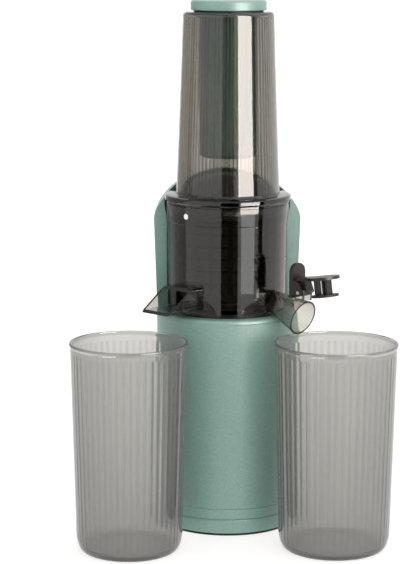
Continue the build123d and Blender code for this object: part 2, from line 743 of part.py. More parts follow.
with BuildPart() as commutator:
    disc(commutator_bottom, commutator_top, commutator_r, motor_shaft_r + fit_gap)
    with BuildSketch(Plane.XY.offset(commutator_bottom)):
        with PolarLocations(commutator_r, slot_count):
            Rectangle(2.4, 0.6)
    extrude(amount=commutator_top - commutator_bottom, mode=Mode.SUBTRACT)
save(commutator, "commutator")

with BuildPart() as cooling_fan:
    disc(fan_bottom, fan_bottom + 1.2, fan_r)
    disc(fan_bottom, fan_top, 6)
    with BuildSketch(Plane.XY.offset(fan_bottom)):
        with PolarLocations((fan_r + 5) / 2, fan_blades):
            Rectangle(fan_r - 5.5, 1.2)
    extrude(amount=fan_top - fan_bottom)
    disc(fan_bottom, fan_top, motor_shaft_r + fit_gap, mode=Mode.SUBTRACT)
save(cooling_fan, "cooling_fan")

# =====================================================================
# Base: electrics
# =====================================================================

with BuildPart() as circuit_board:
    with BuildSketch(Plane.XY.offset(board_bottom)):
        with Locations((0, board_y + board_t / 2)):
            Rectangle(board_w, board_t)
    extrude(amount=board_h)
save(circuit_board, "circuit_board")

capacitor_r = 4.5
with BuildPart() as board_capacitor:
    with BuildSketch(Plane.XY.offset(board_bottom + 3)):
        with Locations((-8, board_y + board_t + capacitor_r)):
            Circle(capacitor_r)
    extrude(amount=20)
    fillet(board_capacitor.edges().group_by(Axis.Z)[-1], radius=0.8)
save(board_capacitor, "board_capacitor")

with BuildPart() as board_heatsink:
    with BuildSketch(Plane.XY.offset(board_bottom + 6)):
        with Locations((7, board_y + board_t + 0.9)):
            Rectangle(12, 1.8)
        with Locations((7, board_y + board_t + 3.5)):
            with GridLocations(3.6, 1, 4, 1):
                Rectangle(1.2, 5)
    extrude(amount=22)
save(board_heatsink, "board_heatsink")

rocker_y = bezel_seat_y - 2.0
rocker_reach = rocker_h / 2
bezel_front = bezel_seat_y + bezel_t
cavity_h = rocker_h + 2.2
with BuildPart() as switch_housing:
    with BuildSketch(Plane.XZ.offset(-(bezel_seat_y - switch_depth))):
        with Locations((0, switch_z)):
            Rectangle(switch_w, switch_h)
    extrude(amount=-switch_depth)
    with BuildSketch(Plane.XZ.offset(-bezel_seat_y)):
        with Locations((0, switch_z)):
            RectangleRounded(bezel_w, bezel_h, 1.5)
    extrude(amount=-bezel_t)
    with BuildSketch(Plane.XZ.offset(-bezel_front)):
        with Locations((0, switch_z)):
            Rectangle(rocker_w + 2 * lip_gap, cavity_h)
    extrude(amount=8, mode=Mode.SUBTRACT)
    with BuildSketch(Plane.YZ):
        with Locations((rocker_y, switch_z)):
            Circle(rocker_pin_r + running_gap)
    extrude(amount=rocker_w / 2 + 1.2, both=True, mode=Mode.SUBTRACT)
    # terminals
    with BuildSketch(Plane.XZ.offset(-(bezel_seat_y - switch_depth))):
        with Locations((0, switch_z)):
            with GridLocations(1, 6.5, 1, 3):
                Rectangle(4.8, 0.8)
    extrude(amount=6)
save(switch_housing, "switch_housing")

with BuildPart() as switch_rocker:
    with BuildSketch(Plane.YZ.offset(-rocker_w / 2)):
        with BuildLine():
            Polyline((rocker_y - 2.4, switch_z - 2), (rocker_y + 1.2, switch_z - rocker_reach + 0.2),
                     (rocker_y + 4.4, switch_z - rocker_reach + 0.2), (rocker_y + 3.1, switch_z),
                     (rocker_y + 4.4, switch_z + rocker_reach - 0.2),
                     (rocker_y + 1.2, switch_z + rocker_reach - 0.2), (rocker_y - 2.4, switch_z + 2),
                     close=True)
        make_face()
    extrude(amount=rocker_w)
    with BuildSketch(Plane.YZ.offset(-rocker_w / 2 - 1)):
        with Locations((rocker_y, switch_z)):
            Circle(rocker_pin_r)
    extrude(amount=rocker_w + 2)
save(switch_rocker, "switch_rocker")

gland_wall_out = column_r(gland_z)
gland_wall_in = gland_wall_out - shell_wall
with BuildPart() as cord_gland:
    with BuildSketch(Plane.XZ.offset(-(gland_wall_in - 2.2))):
        with Locations((0, gland_z)):
            Circle(gland_r)
    extrude(amount=-(shell_wall + 3.7))
    with BuildSketch(Plane.XZ.offset(-(gland_wall_in - 2.2))):
        with Locations((0, gland_z)):
            Circle(gland_flange_r)
    extrude(amount=-1.6)
    with BuildSketch(Plane.XZ.offset(-(gland_wall_out + 0.1))):
        with Locations((0, gland_z)):
            Circle(gland_flange_r)
    extrude(amount=-1.6)
    fillet(cord_gland.edges().group_by(Axis.Y)[-1], radius=0.7)
    with BuildSketch(Plane.XZ.offset(-(gland_wall_in - 2.2))):
        with Locations((0, gland_z)):
            Circle(gland_bore_r)
    extrude(amount=-10, mode=Mode.SUBTRACT)
save(cord_gland, "cord_gland")

reed_in = lid_bay_r + tower_skin + lip_gap
reed_t = upper_r(deck_z) - tower_skin - lip_gap - reed_in
with BuildPart() as reed_switch:
    with BuildSketch(Plane.XY.offset(reed_pocket_top - 16)):
        with Locations((0, reed_in)):
            Rectangle(8, reed_t, align=(Align.CENTER, Align.MIN))
    extrude(amount=16 - lip_gap)
save(reed_switch, "reed_switch")

# =====================================================================
# Drum, with its spout and pulp duct
# =====================================================================

tilt = math.radians(spout_tilt)
spout_turn = math.radians(spout_azimuth)
spout_out = (math.cos(spout_turn), math.sin(spout_turn))
spout_mouth = (spout_end_out * spout_out[0], spout_end_out * spout_out[1], spout_end_z)
spout_dir = (math.cos(tilt) * spout_out[0], math.cos(tilt) * spout_out[1], -math.sin(tilt))
spout_plane = Plane(origin=spout_mouth, x_dir=spout_dir, z_dir=(spout_out[1], -spout_out[0], 0))
spout_axis = Axis(spout_mouth, spout_dir)
spout_l = (spout_end_out - drum_r) / math.cos(tilt)
spout_slope = (spout_end_r - spout_root_r) / spout_l
spout_reach = spout_l + 8          # runs on into the drum's wall
ear_inner = knuckle_w / 2 + 0.2
lug_azimuth = 30.0
lug_spacing = 360 / lug_count


def ring_sector(bottom, top, outer, inner, start, span, mode=Mode.ADD):
    """Part of a ring from a start azimuth, added to or cut from the part being built."""
    with BuildSketch(level(bottom, start)) as outline:
        with BuildLine():
            outside = CenterArc((0, 0), outer, 0, span)
            inside = CenterArc((0, 0), inner, 0, span)
            Line(outside @ 0, inside @ 0)
            Line(outside @ 1, inside @ 1)
        make_face()
    extrude(outline.sketch, amount=top - bottom, mode=mode)


def spout_cone(inset, back, front, mode=Mode.ADD):
    """Cone of the spout, smaller than its outside by the inset, from behind to past the mouth."""
    with BuildSketch(spout_plane) as outline:
        with BuildLine():
            Polyline((-back, 0), (-back, spout_end_r - inset - spout_slope * back),
                     (front, spout_end_r - inset + spout_slope * front), (front, 0), close=True)
        make_face()
    revolve(outline.sketch, axis=spout_axis, mode=mode)


def side_plate(points, near, far, azimuth, mode=Mode.ADD):
    """Plate cut in the vertical plane at an azimuth, between two distances beside that plane."""
    plane = upright(azimuth)
    with BuildSketch(plane.offset(near)) as outline:
        with BuildLine():
            Polyline(*points, close=True)
        make_face()
    extrude(outline.sketch, amount=far - near, mode=mode)


def side_rod(out, height, radius, near, far, azimuth, mode=Mode.ADD):
    """Round rod across the vertical plane at an azimuth."""
    with BuildSketch(upright(azimuth).offset(near)) as outline:
        with Locations((out, height)):
            Circle(radius)
    extrude(outline.sketch, amount=far - near, mode=mode)


with BuildPart() as duct_solid:
    side_plate([(drum_bore_r - 6, duct_bottom), (duct_lip_out, duct_bottom), (duct_roof_out, duct_top),
                (drum_bore_r - 6, duct_top)], -duct_w / 2, duct_w / 2, duct_azimuth)
    along = Vector(math.cos(math.radians(duct_azimuth)), math.sin(math.radians(duct_azimuth)), 0)
    long_edges = duct_solid.edges().filter_by(lambda edge: abs(abs((edge % 0.5).dot(along)) - 1) < 0.001)
    fillet(long_edges, radius=duct_corner)

duct_bore_w = duct_w - 2 * duct_wall
duct_bore_h = duct_top - duct_bottom - 2 * duct_wall
with BuildPart() as duct_passage:
    bore_plane = Plane(origin=along * (drum_bore_r - 8) + Vector(0, 0, (duct_top + duct_bottom) / 2),
                       x_dir=(0, 0, 1), z_dir=along)
    with BuildSketch(bore_plane):
        RectangleRounded(duct_bore_h, duct_bore_w, duct_corner - duct_wall)
    extrude(amount=60)

with BuildPart() as drum:
    with BuildSketch(Plane.XZ):
        with BuildLine():
            Polyline((0, deck_z), (drum_foot_r - 0.8, deck_z), (drum_foot_r, deck_z + 0.8),
                     (drum_r, collar_z), (drum_r + 0.4, collar_z + 0.4), (drum_r + 0.6, collar_line),
                     (collar_r, collar_flare_top), (collar_r, drum_top), (0, drum_top), close=True)
        make_face()
    revolve(axis=Axis.Z)
    spout_cone(0, spout_reach, 0)
    add(duct_solid.part)
    # ears for the stopper's hinge pin, standing on the spout
    for near, far in ((-ear_inner - ear_t, -ear_inner), (ear_inner, ear_inner + ear_t)):
        side_plate([(pivot_out - 5.5, pivot_z - 6.8), (pivot_out + 2.2, pivot_z - 6.8),
                    (pivot_out + knuckle_r, pivot_z), (pivot_out - knuckle_r, pivot_z)],
                   near, far, spout_azimuth)
        side_rod(pivot_out, pivot_z, knuckle_r, near, far, spout_azimuth)
    # inside of the drum
    disc(drum_floor_top, strainer_flange_z, drum_bore_r, mode=Mode.SUBTRACT)
    disc(strainer_flange_z, drum_top, collar_bore_r, mode=Mode.SUBTRACT)
    spout_cone(spout_wall, spout_reach, 2, mode=Mode.SUBTRACT)
    add(duct_passage.part, mode=Mode.SUBTRACT)
    disc(deck_z, hub_top, hub_r)
    disc(deck_z, drum_floor_top - drum_floor_wall, drum_foot_r - 3.2, hub_r, mode=Mode.SUBTRACT)
    disc(deck_z, deck_z + 0.5, hub_r, mode=Mode.SUBTRACT)
    disc(deck_z, hub_top, output_r + 1.4, mode=Mode.SUBTRACT)
    # bayonet grooves: the lugs drop in at the open end and turn to the locked end
    side_play = 1.0
    groove_r = collar_bore_r + lug_depth + lip_gap
    for number in range(lug_count):
        locked = lug_azimuth + lug_spacing * number
        ring_sector(lug_bottom - lip_gap, lug_top + lip_gap, groove_r, collar_bore_r - 1,
                    locked - lug_span / 2 - side_play, twist_angle + lug_span + 2 * side_play,
                    mode=Mode.SUBTRACT)
        ring_sector(lug_bottom, drum_top, groove_r, collar_bore_r - 1,
                    locked + twist_angle - lug_span / 2 - side_play, lug_span + 2 * side_play,
                    mode=Mode.SUBTRACT)
    side_rod(pivot_out, pivot_z, pin_r + fit_gap, -10, 10, spout_azimuth, mode=Mode.SUBTRACT)
    # seat of the alignment dot
    dot_z = (collar_line + collar_flare_top) / 2
    dot_r = 2.2
    dot_plane = Plane(origin=along * (collar_r - 1.1) + Vector(0, 0, dot_z), z_dir=along)
    with BuildSketch(dot_plane):
        Circle(dot_r + fit_gap)
    extrude(amount=3, mode=Mode.SUBTRACT)
save(drum, "drum")

with BuildPart() as alignment_dot:
    with BuildSketch(dot_plane):
        Circle(dot_r)
    extrude(amount=0.8)
save(alignment_dot, "alignment_dot")

with BuildPart() as drum_seal:
    disc(drum_floor_top, hub_top, output_r + 1.4 - fit_gap, output_r + running_gap)
    disc(hub_top, seal_top, hub_r, output_r + running_gap)
    chamfer(drum_seal.edges().group_by(Axis.Z)[-1].sort_by(SortBy.RADIUS)[-1], length=1.2)
save(drum_seal, "drum_seal")

channel_out = 38.0
channel_half = 11.0
channel_wall = 1.6
with BuildPart() as pulp_channel:
    side_plate([(hub_r + 4, drum_floor_top), (channel_out, drum_floor_top),
                (channel_out, strainer_bottom), (hub_r + 4, strainer_bottom)],
               -channel_half, channel_half, duct_azimuth)
    channel_in = hub_r + 4 + channel_wall
    side_plate([(channel_in, drum_floor_top + channel_wall), (channel_out + 4, drum_floor_top + channel_wall),
                (channel_out + 4, strainer_bottom + 1), (channel_in, strainer_bottom + 1)],
               -channel_half + channel_wall, channel_half - channel_wall, duct_azimuth, mode=Mode.SUBTRACT)
save(pulp_channel, "pulp_channel")

with BuildPart() as hinge_pin:
    pin_half = knuckle_w / 2 + ear_t + 3.4
    side_rod(pivot_out, pivot_z, pin_r, -pin_half, pin_half, spout_azimuth)
    chamfer(hinge_pin.edges(), length=0.3)
save(hinge_pin, "hinge_pin")

# =====================================================================
# Strainer and auger
# =====================================================================

strainer_bore = strainer_r - strainer_wall
window_pitch = (strainer_flange_z - seal_top - 3) / window_rows
window_h = window_pitch - window_rib
window_w = 2 * math.pi * strainer_bore / window_columns - window_post
with BuildPart() as strainer_frame:
    disc(strainer_bottom, strainer_flange_z, strainer_r)
    disc(strainer_flange_z, strainer_flange_z + strainer_flange_t, strainer_flange_r)
    disc(seal_top, strainer_flange_z + strainer_flange_t, strainer_bore, mode=Mode.SUBTRACT)
    disc(strainer_bottom, seal_top, hub_r + 1, mode=Mode.SUBTRACT)
    for row in range(window_rows):
        with BuildSketch(Plane.XY.offset(seal_top + window_rib + window_pitch * row)):
            with PolarLocations(strainer_r, window_columns):
                Rectangle(8, window_w)
        extrude(amount=window_h, mode=Mode.SUBTRACT)
    # pulp outlet in the floor
    side_plate([(hub_r + 8, strainer_bottom - 1), (strainer_bore - 3, strainer_bottom - 1),
                (strainer_bore - 3, seal_top + 1), (hub_r + 8, seal_top + 1)],
               -8, 8, duct_azimuth, mode=Mode.SUBTRACT)
save(strainer_frame, "strainer_frame")

mesh_r = strainer_bore - fit_gap
with BuildPart() as strainer_mesh:
    disc(seal_top, strainer_flange_z + strainer_flange_t - 0.5, mesh_r, mesh_r - mesh_t)
save(strainer_mesh, "strainer_mesh")

auger_flight_r = mesh_r - mesh_t - flight_gap
socket_r = 9.0
socket_top = hex_top + 1.0
flight_bottom = auger_bottom + 4
flight_turns_h = strainer_flange_z - flight_bottom - 1.4
flight_root = auger_waist_r - 3
# curve of the auger, in shares of its height and of its crown's radius and height
auger_h = auger_head_z - auger_bottom
waist_share = 0.44
neck_share = 0.80
crown_side_r = 0.87
crown_side_h = 0.63
crown_brow_r = 0.41
crown_brow_h = 0.95
with BuildPart() as auger_flight:
    with BuildLine() as flight_path:
        Helix(flight_pitch, flight_turns_h, auger_flight_r - 4, center=(0, 0, flight_bottom))
    flight_start = flight_path.line @ 0
    with BuildSketch(Plane(origin=flight_start, x_dir=(1, 0, 0), z_dir=flight_path.line % 0)):
        with Locations((-(auger_flight_r - flight_root) / 2 + 4, 0)):
            Rectangle(auger_flight_r - flight_root, flight_t)
    sweep(path=flight_path.line, is_frenet=True)

with BuildPart() as auger:
    with BuildSketch(Plane.XZ):
        with BuildLine():
            floor_line = Line((0, auger_bottom), (auger_root_r, auger_bottom))
            root_line = Line(floor_line @ 1, (auger_root_r, auger_bottom + 6))
            waist = Spline(root_line @ 1, (auger_waist_r, auger_bottom + waist_share * auger_h),
                           (auger_head_r - 0.6, auger_bottom + neck_share * auger_h),
                           (auger_head_r, auger_head_z), tangents=[(0, 1), (0, 1)])
            crown_side = (crown_side_r * auger_head_r, auger_head_z + crown_side_h * auger_crown_h)
            crown_brow = (crown_brow_r * auger_head_r, auger_head_z + crown_brow_h * auger_crown_h)
            crown = Spline(waist @ 1, crown_side, crown_brow, (0, auger_top), tangents=[(0, 1), (-1, 0)])
            Line(crown @ 1, floor_line @ 0)
        make_face()
    revolve(axis=Axis.Z)
    with PolarLocations(0, 2):
        add(auger_flight.part)
    disc(auger_bottom, socket_top, socket_r + fit_gap, mode=Mode.SUBTRACT)
save(auger, "auger")

with BuildPart() as auger_socket:
    disc(auger_bottom, socket_top, socket_r)
    with BuildSketch(Plane.XY.offset(auger_bottom)):
        RegularPolygon(hex_across / 2 + running_gap, 6, major_radius=False)
    extrude(amount=socket_top - auger_bottom, mode=Mode.SUBTRACT)
save(auger_socket, "auger_socket")

# =====================================================================
# Hopper and pusher
# =====================================================================

spigot_r = collar_bore_r - lip_gap
spigot_in = strainer_bore + 0.3
gasket_top = spigot_bottom + 0.7
with BuildPart() as hopper:
    with BuildSketch(Plane.XZ):
        with BuildLine():
            rim_top = lid_z + lid_rim_h
            foot = Polyline((spigot_in, spigot_bottom), (spigot_r, spigot_bottom), (spigot_r, lid_z),
                            (collar_r, lid_z), (collar_r, lid_z + lid_neck_h),
                            (lid_r, lid_z + lid_neck_h + lid_r - collar_r),
                            (lid_r, rim_top - lid_rim_round / 2),
                            (lid_r - lid_rim_round / 3, rim_top), (lid_r - lid_rim_round, rim_top + 0.5),
                            (hopper_foot_r + 1.0, hopper_foot_z - 0.5),
                            (hopper_foot_r, hopper_foot_z + 0.8))
            ThreePointArc(foot @ 1, (hopper_mid_r, hopper_mid_z), (hopper_neck_r, hopper_neck_z))
            shoulder_out = EllipticalCenterArc((hopper_neck_r - shoulder_r, hopper_neck_z), shoulder_r,
                                               shoulder_h, start_angle=0, arc_size=90)
            Polyline(shoulder_out @ 1, (hopper_mouth_r, hopper_top),
                     (hopper_mouth_r, hopper_top - hopper_wall),
                     (hopper_neck_r - shoulder_r, hopper_top - hopper_wall))
            shoulder_in = EllipticalCenterArc((hopper_neck_r - shoulder_r, hopper_neck_z),
                                              shoulder_r - hopper_wall, shoulder_h - hopper_wall,
                                              start_angle=0, arc_size=90)
            wall_in = ThreePointArc(shoulder_in @ 0, (hopper_mid_r - hopper_wall, hopper_mid_z),
                                    (hopper_foot_r - hopper_wall, hopper_foot_z))
            Polyline(wall_in @ 1, (hopper_foot_r - hopper_wall, lid_z + 0.6), (spigot_in, lid_z),
                     (spigot_in, spigot_bottom))
        make_face()
    revolve(axis=Axis.Z)
    for number in range(lug_count):
        ring_sector(lug_bottom, lug_top, collar_bore_r + lug_depth, spigot_r - 0.5,
                    lug_azimuth + lug_spacing * number - lug_span / 2, lug_span)
    disc(spigot_bottom, gasket_top, spigot_r - 0.6, spigot_in + 0.6, mode=Mode.SUBTRACT)
    magnet_plane = Plane.XY.offset(lid_z)
    with BuildSketch(magnet_plane):
        with Locations((0, (spigot_r + collar_r) / 2)):
            Circle(1.6 + fit_gap)
    extrude(amount=2.2, mode=Mode.SUBTRACT)
save(hopper, "hopper")

with BuildPart() as lid_gasket:
    disc(strainer_flange_z + strainer_flange_t + lip_gap, gasket_top,
         spigot_r - 0.6 - fit_gap, spigot_in + 0.6 + fit_gap)
save(lid_gasket, "lid_gasket")

with BuildPart() as lid_magnet:
    with BuildSketch(magnet_plane):
        with Locations((0, (spigot_r + collar_r) / 2)):
            Circle(1.6)
    extrude(amount=2.2)
save(lid_magnet, "lid_magnet")

pusher_plug_top = cap_bottom + 4.6
with BuildPart() as pusher_cap:
    disc(cap_bottom, cap_top, cap_r)
    fillet(pusher_cap.edges().group_by(Axis.Z)[-1], radius=cap_round)
    fillet(pusher_cap.edges().group_by(Axis.Z)[0], radius=0.6)
    disc(cap_bottom, pusher_plug_top, pusher_r + fit_gap, mode=Mode.SUBTRACT)
save(pusher_cap, "pusher_cap")

with BuildPart() as pusher_body:
    disc(pusher_bottom, pusher_plug_top, pusher_r)
    fillet(pusher_body.edges().group_by(Axis.Z)[0], radius=pusher_round)
    disc(hopper_top - 4.2, hopper_top + lip_gap, hopper_mouth_r - 2 * lip_gap)
    disc(pusher_bottom + pusher_wall, pusher_plug_top, pusher_r - pusher_wall, mode=Mode.SUBTRACT)
save(pusher_body, "pusher_body")

with BuildPart() as pusher_ring:
    disc(hopper_top + lip_gap, cap_bottom, hopper_mouth_r + 1.6, pusher_r + fit_gap)
save(pusher_ring, "pusher_ring")

# =====================================================================
# Drip stopper, drawn open; local X runs along its plates, local Y away from the spout
# =====================================================================

lean = math.radians(plate_tilt)
mouth_out = spout_end_out - pivot_out
mouth_up = spout_end_z - pivot_z
seat_along = -math.sin(tilt) * mouth_out - math.cos(tilt) * mouth_up
seat_off = math.cos(tilt) * mouth_out - math.sin(tilt) * mouth_up
pivot_point = (pivot_out * spout_out[0], pivot_out * spout_out[1], pivot_z)
plates_dir = (math.cos(lean) * spout_out[0], math.cos(lean) * spout_out[1], math.sin(lean))
plates_up = (-math.sin(lean) * spout_out[0], -math.sin(lean) * spout_out[1], math.cos(lean))
stopper_side = Plane(origin=pivot_point, x_dir=plates_dir, z_dir=(spout_out[1], -spout_out[0], 0))
stopper_flat = Plane(origin=pivot_point, x_dir=plates_dir, z_dir=plates_up)
plate_off = seat_off + plate_lift
plug_off = seat_off - plug_depth
tab_out = -7.4


def stopper_plate(x_low, x_high, y_low, y_high, width):
    """Block of the stopper, in its own axes, centred across."""
    with BuildSketch(stopper_side.offset(-width / 2)) as outline:
        with Locations(((x_low + x_high) / 2, (y_low + y_high) / 2)):
            Rectangle(x_high - x_low, y_high - y_low)
    extrude(outline.sketch, amount=width)


with BuildPart() as stopper_lever:
    with BuildSketch(stopper_flat.offset(plate_off)):
        with Locations((seat_along, 0)):
            Circle(plate_r)
        with Locations((seat_along / 2 - 1, 0)):
            Rectangle(seat_along + 2, 11)
    extrude(amount=plate_t)
    with BuildSketch(stopper_flat.offset(plug_off)):
        with Locations((seat_along, 0)):
            Circle(plug_plate_r)
    extrude(amount=plug_plate_t)
    # stem between the plates
    for offset in (-6.5, 0.8, 4.0):
        stopper_plate(seat_along + offset - 0.9, seat_along + offset + 0.9, plug_off, plate_off + 1, 6)
    stopper_plate(seat_along - 0.5, seat_along + 4, plug_off, plate_off + 1, 1.8)
    # arm and knuckle
    stopper_plate(-2.4, 4.2, 0, plate_off + 1, knuckle_w)
    side_rod(pivot_out, pivot_z, knuckle_r, -knuckle_w / 2, knuckle_w / 2, spout_azimuth)
    # thumb tab, with a cheek on each side that also holds the pin
    tab_base = (pivot_out + tab_out, pivot_z - tab_drop)
    tab_plane = Plane(origin=(tab_base[0] * spout_out[0], tab_base[0] * spout_out[1], tab_base[1]),
                      x_dir=(-spout_out[1], spout_out[0], 0), z_dir=(spout_out[0], spout_out[1], 0))
    with BuildSketch(tab_plane):
        with Locations((0, tab_h / 2)):
            RectangleRounded(tab_w, tab_h, tab_w / 2 - 0.6)
        with Locations((0, 4)):
            Rectangle(tab_w, 8)
    extrude(amount=tab_t / 2, both=True)
    cheek_in = ear_inner + ear_t + 0.2
    for near, far in ((-tab_w / 2, -cheek_in), (cheek_in, tab_w / 2)):
        side_plate([(tab_base[0], pivot_z - 2.2), (pivot_out, pivot_z - knuckle_r),
                    (pivot_out + knuckle_r, pivot_z), (pivot_out, pivot_z + 7), (tab_base[0], pivot_z + 9)],
                   near, far, spout_azimuth)
    side_plate([(tab_base[0], pivot_z + 4.6), (pivot_out, pivot_z + 4.6), (pivot_out, pivot_z + 7),
                (tab_base[0], pivot_z + 9)], -tab_w / 2, tab_w / 2, spout_azimuth)
    side_rod(pivot_out, pivot_z, pin_r + running_gap, -tab_w, tab_w, spout_azimuth, mode=Mode.SUBTRACT)
save(stopper_lever, "stopper_lever")

with BuildPart() as stopper_seal:
    with BuildSketch(stopper_flat.offset(plug_off)):
        with Locations((seat_along, 0)):
            Circle(plug_plate_r + seal_lip)
            Circle(plug_plate_r + fit_gap, mode=Mode.SUBTRACT)
    extrude(amount=plug_plate_t)
save(stopper_seal, "stopper_seal")

# =====================================================================
# Cups
# =====================================================================

lip_r = cup_wall / 2
for name, cup_top, rim_r, cup_x, cup_y in (
        ("pulp_cup", pulp_cup_h, pulp_cup_rim_r, pulp_cup_x, pulp_cup_y),
        ("juice_cup", juice_cup_h, juice_cup_rim_r, juice_cup_x, juice_cup_y)):
    corner_r = rim_r - cup_taper
    foot_r = corner_r - cup_corner_w
    with BuildPart() as cup:
        with BuildSketch(Plane(origin=(cup_x, cup_y, 0), x_dir=(1, 0, 0), z_dir=(0, -1, 0))):
            with BuildLine():
                Polyline((0, cup_foot_recess), (foot_r - cup_foot_w - cup_foot_recess, cup_foot_recess),
                         (foot_r - cup_foot_w, 0), (foot_r, 0))
                corner = EllipticalCenterArc((foot_r, cup_corner_z), cup_corner_w, cup_corner_z,
                                             start_angle=-90, arc_size=90)
                wall_out = Polyline(corner @ 1, (rim_r - cup_bead, cup_top - cup_bead_h),
                                    (rim_r, cup_top - cup_bead_h / 2), (rim_r, cup_top - lip_r))
                lip = ThreePointArc(wall_out @ 1, (rim_r - lip_r, cup_top),
                                    (rim_r - cup_wall, cup_top - lip_r))
                Line(lip @ 1, (corner_r - cup_wall, cup_corner_z))
                corner_in = EllipticalCenterArc((foot_r, cup_corner_z), cup_corner_w - cup_wall,
                                                cup_corner_z - cup_floor, start_angle=-90, arc_size=90)
                Polyline(corner_in @ 0, (0, cup_floor), (0, cup_foot_recess))
            make_face()
        revolve(axis=Axis((cup_x, cup_y, 0), (0, 0, 1)))
    save(cup, name)
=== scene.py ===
"""Cold press juicer: finishes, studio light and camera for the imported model. Lengths are metres."""

import json
import math

import bpy
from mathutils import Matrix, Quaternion, Vector


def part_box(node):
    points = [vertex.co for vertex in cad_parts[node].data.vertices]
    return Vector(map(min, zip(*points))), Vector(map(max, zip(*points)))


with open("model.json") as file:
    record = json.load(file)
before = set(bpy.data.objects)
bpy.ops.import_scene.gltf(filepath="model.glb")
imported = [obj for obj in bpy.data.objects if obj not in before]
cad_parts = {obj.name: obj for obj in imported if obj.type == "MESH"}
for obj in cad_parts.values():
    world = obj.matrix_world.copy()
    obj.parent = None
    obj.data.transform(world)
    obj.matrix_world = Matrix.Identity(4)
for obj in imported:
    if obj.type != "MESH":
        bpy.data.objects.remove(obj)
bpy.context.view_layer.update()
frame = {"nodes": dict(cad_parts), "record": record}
nodes = frame["nodes"]
scene = bpy.context.scene

# ---------- sizes taken from the model ----------
HOPPER_FLUTES = 78
CUP_FLUTES = 52
HOPPER_LINE = ((0.2565, 0.03935), (0.3893, 0.0345))     # height and outer radius at foot and neck
HOPPER_WALL = 0.0024
CUP_WALL = 0.0022
CUP_TAPER = 0.0042
CUP_CORNER = 0.014
CUP_FLOOR_CLEAR = 0.008        # flutes start this far above the cup's foot
CUP_LIP_CLEAR = 0.007          # and stop this far below its lip
STRAINER_PITCH = 0.0012
STRAINER_RADIUS = 0.038


# ---------- node helpers ----------
def new_material(name):
    """Material with one Principled shader; returns the material, its tree and the shader."""
    material = bpy.data.materials.new(name)
    material.use_nodes = True
    tree = material.node_tree
    return material, tree, tree.nodes["Principled BSDF"]


def add(tree, kind, **settings):
    """Node with its properties set."""
    node = tree.nodes.new(kind)
    for key, value in settings.items():
        setattr(node, key, value)
    return node


def math_node(tree, operation, first, second=None):
    """Math node; each input is a number or a socket."""
    node = add(tree, "ShaderNodeMath", operation=operation)
    for index, value in enumerate((first, second)):
        if value is None:
            continue
        if isinstance(value, (int, float)):
            node.inputs[index].default_value = value
        else:
            tree.links.new(value, node.inputs[index])
    return node.outputs[0]


def coordinates(tree):
    """Object coordinates, which are the shared frame's own metres."""
    return add(tree, "ShaderNodeTexCoord").outputs["Object"]


def noise(tree, scale, detail=2.0, roughness=0.5, vector=None):
    """Noise value over the object's own coordinates."""
    node = add(tree, "ShaderNodeTexNoise")
    node.inputs["Scale"].default_value = scale
    node.inputs["Detail"].default_value = detail
    node.inputs["Roughness"].default_value = roughness
    tree.links.new(vector or coordinates(tree), node.inputs["Vector"])
    return node.outputs["Fac"]


def ramp(tree, value, stops):
    """Colour ramp through the given (place, colour) stops."""
    node = add(tree, "ShaderNodeValToRGB")
    while len(node.color_ramp.elements) < len(stops):
        node.color_ramp.elements.new(0.5)
    for element, (place, color) in zip(node.color_ramp.elements, stops):
        element.position = place
        element.color = (*color, 1.0)
    tree.links.new(value, node.inputs["Fac"])
    return node.outputs["Color"]


def bump(tree, shader, height, strength, distance):
    """Bump on a shader's normal."""
    node = add(tree, "ShaderNodeBump")
    node.inputs["Strength"].default_value = strength
    node.inputs["Distance"].default_value = distance
    tree.links.new(height, node.inputs["Height"])
    tree.links.new(node.outputs["Normal"], shader.inputs["Normal"])


def polar(tree, centre=(0.0, 0.0)):
    """Height, angle and radius round an upright axis."""
    place = add(tree, "ShaderNodeSeparateXYZ")
    tree.links.new(coordinates(tree), place.inputs["Vector"])
    across = math_node(tree, "SUBTRACT", place.outputs["X"], centre[0])
    along = math_node(tree, "SUBTRACT", place.outputs["Y"], centre[1])
    square = math_node(tree, "ADD", math_node(tree, "MULTIPLY", across, across),
                       math_node(tree, "MULTIPLY", along, along))
    return place.outputs["Z"], math_node(tree, "ARCTAN2", along, across), math_node(tree, "SQRT", square)


def shade(color, factor):
    """Colour scaled by a factor."""
    return tuple(min(1.0, channel * factor) for channel in color)


# ---------- materials ----------
def plastic(name, color, roughness, grain, depth, contrast=0.06, coat=0.0, gloss=0.5):
    """Moulded plastic: faint cloudiness in the colour and a fine moulded grain."""
    material, tree, shader = new_material(name)
    shader.inputs["Roughness"].default_value = roughness
    shader.inputs["Specular IOR Level"].default_value = gloss
    shader.inputs["Coat Weight"].default_value = coat
    shader.inputs["Coat Roughness"].default_value = 0.08
    fine = noise(tree, grain, 3.0)
    tree.links.new(ramp(tree, fine, ((0.3, shade(color, 1 - contrast)), (0.7, shade(color, 1 + contrast)))),
                   shader.inputs["Base Color"])
    bump(tree, shader, fine, 0.25, depth)
    return material


